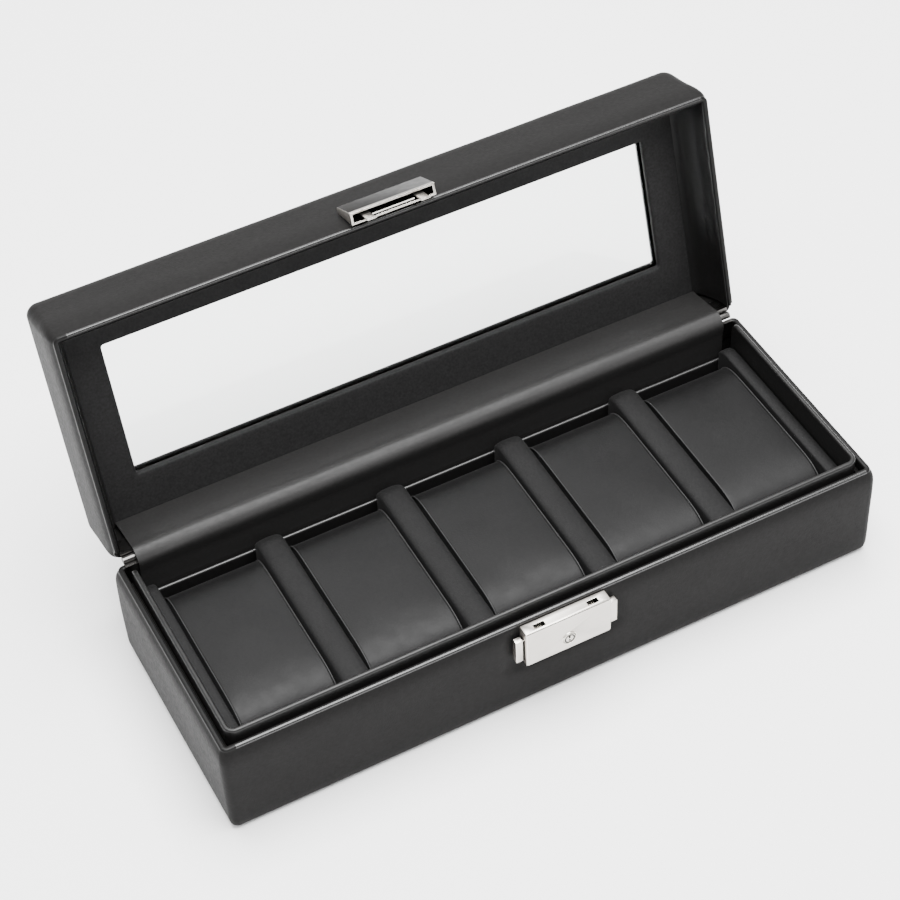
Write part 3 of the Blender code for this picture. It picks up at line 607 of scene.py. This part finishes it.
def cushion_outline():
    """Side view: flat top, a full roll at the front, a smaller one at the back."""
    corners = [(-CUSHION_REACH, CUSHION_BOTTOM, 5.0, 180), (CUSHION_REACH, CUSHION_BOTTOM, 5.0, 270),
               (CUSHION_REACH, CUSHION_TOP - 0.4, 13.5, 0), (-CUSHION_REACH, CUSHION_TOP - 0.4, 17.0, 90)]
    line = []
    for number, (y, z, radius, start) in enumerate(corners):
        cy = y + radius if y < 0 else y - radius
        cz = z + radius if z < 20 else z - radius
        for i in range(12):
            a = math.radians(start + 90 * i / 12)
            line.append((cy + radius * math.cos(a), cz + radius * math.sin(a)))
        ny, nz, nr, _ = corners[(number + 1) % 4]
        a = math.radians(start + 90)
        begin = Vector((cy + radius * math.cos(a), cz + radius * math.sin(a)))
        end = Vector(((ny + nr if ny < 0 else ny - nr) + nr * math.cos(a),
                      (nz + nr if nz < 20 else nz - nr) + nr * math.sin(a)))
        steps = max(3, int((end - begin).length / 2.6))
        line += [tuple(begin.lerp(end, i / steps)) for i in range(steps)]
    for _ in range(10):
        ahead = line[1:] + line[:1]
        behind = line[-1:] + line[:-1]
        line = [((b[0] + 2 * p[0] + a[0]) / 4, (b[1] + 2 * p[1] + a[1]) / 4)
                for b, p, a in zip(behind, line, ahead)]
    return line


def cushion_mesh():
    """Wrap between two side panels, in the cushion's own place with X at its middle."""
    line = cushion_outline()
    middle = Vector((0.0, (CUSHION_BOTTOM + CUSHION_TOP) / 2))
    stations = [(-1.0, 0.35), (-0.985, 0.08)]
    stations += [(u, 0.0) for u in np.linspace(-0.95, 0.95, 18)] + [(0.985, 0.08), (1.0, 0.35)]
    sections = []
    for u, inset in stations:
        level = []
        for y, z in line:
            inward = (middle - Vector((y, z))).normalized() * inset
            level.append((u * CUSHION_HALF, y + inward.x, z + inward.y))
        sections.append(level)
    return loft(sections, rings=7)


def inflate(made, cap):
    """Swells the closed mesh with cloth pressure, and limits how far each point may go."""
    start = np.array([v.co for v in made.data.vertices])
    seam = made.vertex_groups.new(name="seam")
    sewn = [v.index for v in made.data.vertices if abs(v.co.x) > SEAM_START * CUSHION_HALF * MM]
    seam.add(sewn, 1.0, "REPLACE")
    cloth = made.modifiers.new("stuffing", "CLOTH")
    cloth.settings.use_pressure = True
    cloth.settings.uniform_pressure_force = 4.0
    cloth.settings.effector_weights.gravity = 0.0
    cloth.settings.quality = 6
    cloth.settings.mass = 0.2
    cloth.settings.vertex_group_mass = "seam"
    cloth.point_cache.frame_start = 1
    cloth.point_cache.frame_end = 20
    scene = bpy.context.scene
    for number in range(1, 21):
        scene.frame_set(number)
    solved = made.evaluated_get(bpy.context.evaluated_depsgraph_get())
    moved = np.array([v.co for v in solved.data.vertices]) - start
    made.modifiers.remove(cloth)
    scene.frame_set(1)
    length = np.linalg.norm(moved, axis=1, keepdims=True)
    moved *= np.minimum(1.0, cap / np.maximum(length, 1e-9))
    return start + moved


pattern = piece("cushion_pattern", *cushion_mesh(), cushion_suede, smooth_deg=50)
swollen = inflate(pattern, INFLATE_CAP * MM)
bpy.data.objects.remove(pattern)

seam_line = cushion_outline()
for number in range(5):
    x = (number - 2) * PITCH
    made = piece(f"padded_cushion_{number + 1}", *cushion_mesh(), cushion_suede, smooth_deg=50)
    for vertex, place in zip(made.data.vertices, swollen):
        px, py, pz = place / MM
        edge = 1 - (px / CUSHION_HALF) ** 4
        crown = 0.2 * edge * (pz > 40) * (1 - (py / 44.0) ** 2)
        wave = 0.16 * ripple(px + 90.0 * number, py, pz, 55.0, 20.0) * edge
        pz = max(pz + (crown + wave) * (pz > 30), CUSHION_BOTTOM - 0.2)
        vertex.co = Vector((px + x, py + wave * (py < -30), pz)) * MM
    level = made.modifiers.new("softness", "SUBSURF")
    level.levels = 1
    level.render_levels = 1
    body = f"cushion_{number + 1}"
    declare(made, body, body, body)
    # folded seam allowance that shows as a fine raised line along both side edges, in a lighter suede that is
    # a painted highlight on the edge
    for side, sign in (("left", -1), ("right", 1)):
        rings = []
        for k in range(len(seam_line)):
            y, z = seam_line[k]
            before, after = seam_line[k - 1], seam_line[(k + 1) % len(seam_line)]
            along = Vector((0.0, after[0] - before[0], after[1] - before[1])).normalized()
            out = Vector((0.0, along.z, -along.y))
            centre = Vector((x + sign * (CUSHION_HALF + 0.05), y, z)) + out * 0.02
            rings.append([tuple(centre + 0.3 * (math.cos(b) * out + math.sin(b) * Vector((1, 0, 0))))
                          for b in [2 * math.pi * j / 6 for j in range(6)]])
        seam = piece(f"cushion_seam_{number + 1}_{side}", *hoop(rings), seam_highlight_suede, smooth_deg=80)
        declare(seam, body, body)

# ---------------------------------------------------------------- lid lining
# cross-section of the lining: (distance in from the lid's rim, height), from its foot to the panel
lining_points = [
    (2.65, 55.25),
    (2.78, 56.0),
    (2.8, 59.5),
    (3.2, 64.5),
    (4.3, 69.5),
    (5.5, 73.5),
    (6.9, 76.3),
    (8.3, 78.0),
]
lining_curve = [tuple(p) for p in smooth_line(lining_points, 3)]
LINING_SOFT_Z = 60.0
for side in ("front", "left", "right"):
    sections = []
    if side == "front":
        stations = np.linspace(-1.0, 1.0, 110)
    else:
        stations = np.linspace(0.0, 1.0, 50)
    closed = [(2.55, 55.25)] + lining_curve + [(2.55, 78.2)]
    for u in stations:
        level = []
        for d, z in closed:
            if side == "front":
                px, py = u * (LID_X - d - 0.05), LID_FRONT + d
            else:
                sign = -1 if side == "left" else 1
                px = sign * (LID_X - d)
                py = LID_FRONT + d + 0.05 + u * (53.2 - LID_FRONT - d - 0.05)
            soft = 0.12 * ripple(px, py, z, 71.0, 22.0) * (z > LINING_SOFT_Z)
            level.append((px - math.copysign(soft, px) * (side != "front"), py + soft * (side == "front"), z))
        sections.append(level)
    made = piece(f"lid_lining_leather_{side}", *loft(sections), lining_leather, on_lid=True, smooth_deg=50)
    declare(made, "lid", f"lid_lining_{side}", f"lid_lining_{side}")

panel_box = (-156.2, 156.2, -54.0, 54.6)
PANEL_UNDER, PANEL_OVER = 78.5, 81.3
panel_roll = profile_curve([
    (6.0, 3.0, PANEL_UNDER, 0.04),
    (2.2, 2.4, PANEL_UNDER + 0.02, 0.03),
    (0.7, 1.8, PANEL_UNDER + 0.25, 0.0),
    (0.1, 1.5, PANEL_OVER - 1.9, 0.0),
    (0.0, 1.4, PANEL_OVER - 0.9, 0.0),
    (0.0, 1.4, PANEL_OVER, 0.0),
], 3)
sections = [shell_section(panel_box, grow, 1.0, z, 0.0, 0.0)
            for grow, z in ((0.0, PANEL_OVER), (0.0, PANEL_UNDER), (-6.0, PANEL_UNDER))]
sections += [shell_section(window_box, g, r, z, u, 12.0) for g, r, z, u in panel_roll]
panel = piece("lid_panel_suede", *hoop(sections), panel_suede, on_lid=True, smooth_deg=50)
declare(panel, "lid", "lid_inner_panel", "lid_inner_panel")


# ---------------------------------------------------------------- flap over the hinge
def from_lid(y, z):
    p = opened @ (Vector((0.0, y, z)) * MM) / MM
    return (p.y, p.z)


flap_points = [from_lid(52.3, 78.1), from_lid(52.75, 72.0), from_lid(53.2, 66.0), from_lid(53.65, 60.0),
               from_lid(53.75, 56.8), (57.9, 59.7), (56.1, 58.8), (54.5, 57.5), (53.4, 56.0), (53.1, 54.2),
               (53.3, 51.5), (53.6, 48.0), (53.6, 40.0), (53.6, 25.0)]
flap_line = [Vector(p) for p in smooth_line([(y, z) for y, z in flap_points], 5)]
FLAP_HALF, FLAP_THICK = 150.2, 0.5
across = np.linspace(-FLAP_HALF, FLAP_HALF, 90)
front_face, back_face = [], []
for i, p in enumerate(flap_line):
    before, after = flap_line[max(i - 1, 0)], flap_line[min(i + 1, len(flap_line) - 1)]
    along = (after - before).normalized()
    normal = Vector((-along.y, along.x))
    front_face.append((p + normal * FLAP_THICK / 2, normal))
    back_face.append((p - normal * FLAP_THICK / 2, normal))
loop = front_face + back_face[::-1]
roll = {i: math.sin(math.pi * i / (len(flap_line) - 1)) for i in range(len(flap_line))}
sections = []
for x in across:
    level = []
    for i, (p, normal) in enumerate(loop):
        k = i if i < len(flap_line) else 2 * len(flap_line) - 1 - i
        soft = 0.1 * ripple(x, k * 3.0, 0.0, 83.0, 24.0) * roll[k]
        level.append((x, p.x + normal.x * soft, p.y + normal.y * soft))
    sections.append(level)
flap = piece("hinge_flap_leather", *loft(sections), flap_leather, smooth_deg=60)
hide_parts("hinge_lining_flap")
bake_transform(flap)


# ---------------------------------------------------------------- metalwork
def refined(name, node, body, look, width, shaded_boxes=(), splits=()):
    """Copy of a CAD part with its facets merged and its edges rounded and polished.

    Faces whose middle lies in one of the shaded boxes, given with the lid shut, are painted near-black nickel
    as painted shade.
    """
    shut = opened.inverted() if body == "lid" else Matrix()
    mesh = nodes[node].data.copy()
    mesh.name = name
    mesh.materials.clear()
    for entry in (look, polished, painted_shade_nickel):
        mesh.materials.append(entry.material)
    shape = bmesh.new()
    shape.from_mesh(mesh)
    bmesh.ops.remove_doubles(shape, verts=shape.verts, dist=2e-6)
    bmesh.ops.dissolve_limit(shape, angle_limit=math.radians(2.0), verts=shape.verts, edges=shape.edges)
    for x in splits:
        parts = list(shape.verts) + list(shape.edges) + list(shape.faces)
        bmesh.ops.bisect_plane(shape, geom=parts, plane_co=(x * MM, 0, 0), plane_no=(1, 0, 0))
    for face in shape.faces:
        middle = (shut @ face.calc_center_median()) / MM
        face.material_index = 0
        for box in shaded_boxes:
            if all(low < value < high for value, (low, high) in zip(middle, box)):
                face.material_index = 2
    shape.to_mesh(mesh)
    shape.free()
    mesh.shade_smooth()
    made = bpy.data.objects.new(name, mesh)
    bpy.context.scene.collection.objects.link(made)
    edge = made.modifiers.new("edges", "BEVEL")
    edge.width = width * MM
    edge.segments = 2
    edge.limit_method = "ANGLE"
    edge.angle_limit = math.radians(30)
    edge.harden_normals = True
    edge.material = 1
    declare(made, body, node, node)
    return made


# the inside of the lock case is painted near-black as painted shade
refined("lock_case_nickel", "lock_case", "base", brushed, 0.2,
        [((-20.6, 20.6), (-63.3, -57.7), (31.9, 52.1))])
# the slider keeps its brushed nickel only on the tabs that stand out past the sides of the case; its middle
# inside the case is painted near-black as painted shade
TAB_X = 21.8
refined("lock_slider_nickel", "lock_slider", "lock_slider", brushed, 0.22,
        [((-TAB_X, TAB_X), (-62.5, -57.7), (33.0, 53.0))], splits=(-TAB_X, TAB_X))
# the hollows under the catch bar, beside the hooks, are painted near-black as painted shade
catch_hollows = ((-19.7, -15.7), (-10.3, 10.3), (15.7, 19.7))
refined("catch_bar_nickel", "catch_bar", "lid", brushed, 0.22,
        [(xs, (-63.3, -58.3), (53.6, 61.8)) for xs in catch_hollows])
# the keyway slot in the key face is painted near-black as painted shade
refined("key_disc_nickel", "key_cylinder", "key_cylinder", brushed, 0.08,
        [((-0.5, 0.5), (-64.25, -62.0), (36.7, 40.5))])


def ring_y(name, x, z, radii, look, body, slot):
    """Turned ring about an axis along Y, from (radius, y) pairs."""
    count = 40
    sections = [[(x + r * math.cos(2 * math.pi * i / count), y, z + r * math.sin(2 * math.pi * i / count))
                 for i in range(count)] for r, y in radii]
    made = piece(name, *hoop(sections), look, smooth_deg=40)
    declare(made, body, slot)
    return made


SPRING_X, SPRING_Y, SPRING_Z, SPRING_LENGTH = -16.6, -60.4, 35.2, 10.2
COIL, WIRE, COILS, COIL_STEPS, WIRE_SIDES = 1.0, 0.22, 4, 24, 8
rings = []
for i in range(COILS * COIL_STEPS + 1):
    a = 2 * math.pi * i / COIL_STEPS
    out = Vector((0.0, math.cos(a), math.sin(a)))
    along = SPRING_LENGTH * i / (COILS * COIL_STEPS)
    middle = Vector((SPRING_X + along, SPRING_Y, SPRING_Z)) + COIL * out
    rings.append([tuple(middle + WIRE * (out * math.cos(b) + Vector((1, 0, 0)) * math.sin(b)))
                  for b in [2 * math.pi * k / WIRE_SIDES for k in range(WIRE_SIDES)]])
spring = declare(piece("release_spring", *loft(rings), steel), "base", "slider_spring", "slider_spring")
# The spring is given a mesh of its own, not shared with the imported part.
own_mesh(spring)

KEY_Z, KEY_FRONT = 38.6, -64.3
ring_y("key_collar_nickel", 0.0, KEY_Z,
       [(3.22, -63.75), (3.22, -64.0), (3.3, -64.14), (3.5, -64.16), (3.66, -64.0), (3.7, -63.75)],
       polished, "base", "lock_case")
# a thin dark ring laid on the key face: painted shade standing for a groove around the keyway
ring_y("key_groove_painted_shade", 0.0, KEY_Z,
       [(1.85, KEY_FRONT + 0.1), (1.85, KEY_FRONT - 0.03), (2.6, KEY_FRONT - 0.03), (2.6, KEY_FRONT + 0.1)],
       painted_shade_nickel, "key_cylinder", "key_cylinder")


def small_block(name, xs, ys, zs, look, body, slot):
    points = [(x, y, z) for x in xs for y in ys for z in zs]
    faces = [(0, 1, 3, 2), (4, 5, 7, 6), (0, 1, 5, 4), (2, 3, 7, 6), (0, 2, 6, 4), (1, 3, 7, 5)]
    declare(piece(name, points, faces, look, on_lid=body == "lid"), body, slot)


small_block("key_pin_nickel", (-0.42, 0.42), (KEY_FRONT - 0.03, KEY_FRONT + 0.6),
            (KEY_Z - 0.25, KEY_Z + 0.25), polished, "key_cylinder", "key_cylinder")
small_block("catch_rail_nickel", (-10.0, 10.4), (-60.0, -59.2), (54.2, 56.0), polished, "lid", "catch_bar")

# ---------------------------------------------------------------- materials of the CAD parts that stay
carried = {
    "window_glass": pane,
    "base_bottom_lining": felt,
    "tray_floor_pad": panel_suede,
    "hinge_lower_leaf": hinge_shade_nickel,
    "hinge_upper_leaf": hinge_shade_nickel,
    "hinge_pin": hinge_shade_nickel,
    "lock_back_plate": steel,
}
for name, node in nodes.items():
    look = carried.get(name)
    if look is None and ("screw" in name or "stud" in name):
        look = steel
    if look is None and ("board" in name or "spacer" in name or name == "lid_top_frame"):
        look = gap_shade_board
    if look is not None:
        node.data.materials.clear()
        node.data.materials.append(look.material)

# ---------------------------------------------------------------- stage, light and camera
bpy.ops.mesh.primitive_plane_add(size=16.0, location=(0.0, 0.0, 0.0))
floor = bpy.context.object
floor.name = "floor"
paper = Shader("paper", (0.95, 0.95, 0.95), 0.7, specular=0.1)
floor.data.materials.append(paper.material)

world = bpy.data.worlds.new("studio")
bpy.context.scene.world = world
world.use_nodes = True
sky = world.node_tree
place = sky.nodes.new("ShaderNodeTexCoord")
split = sky.nodes.new("ShaderNodeSeparateXYZ")
ramp = sky.nodes.new("ShaderNodeValToRGB")
ramp.color_ramp.elements[0].position = 0.05
ramp.color_ramp.elements[0].color = (0.12, 0.12, 0.12, 1.0)
ramp.color_ramp.elements[1].position = 0.85
ramp.color_ramp.elements[1].color = (1.0, 1.0, 1.0, 1.0)
sky.links.new(place.outputs["Generated"], split.inputs["Vector"])
sky.links.new(split.outputs["Z"], ramp.inputs["Fac"])
sky.links.new(ramp.outputs["Color"], sky.nodes["Background"].inputs["Color"])
sky.nodes["Background"].inputs["Strength"].default_value = 2.2


def softbox(name, place, target, size, power):
    data = bpy.data.lights.new(name, "AREA")
    data.shape = "RECTANGLE"
    data.size, data.size_y = size
    data.energy = power
    light = bpy.data.objects.new(name, data)
    bpy.context.scene.collection.objects.link(light)
    light.location = place
    light.rotation_euler = (Vector(target) - Vector(place)).to_track_quat("-Z", "Y").to_euler()


softbox("overhead", (0.1, 0.0, 1.6), (0.0, 0.0, 0.0), (1.6, 1.2), 105.0)
softbox("back", (0.3, 1.9, 0.9), (0.0, 0.0, 0.0), (1.6, 0.7), 8.0)

camera_data = bpy.data.cameras.new("camera")
camera_data.lens = 98.63
camera_data.sensor_width = 36.0
camera = bpy.data.objects.new("camera", camera_data)
bpy.context.scene.collection.objects.link(camera)
camera.location = (-0.3272, -0.6483, 0.8715)
camera.rotation_euler = Euler([math.radians(a) for a in (43.197, 2.259, -27.641)])
bpy.context.scene.camera = camera
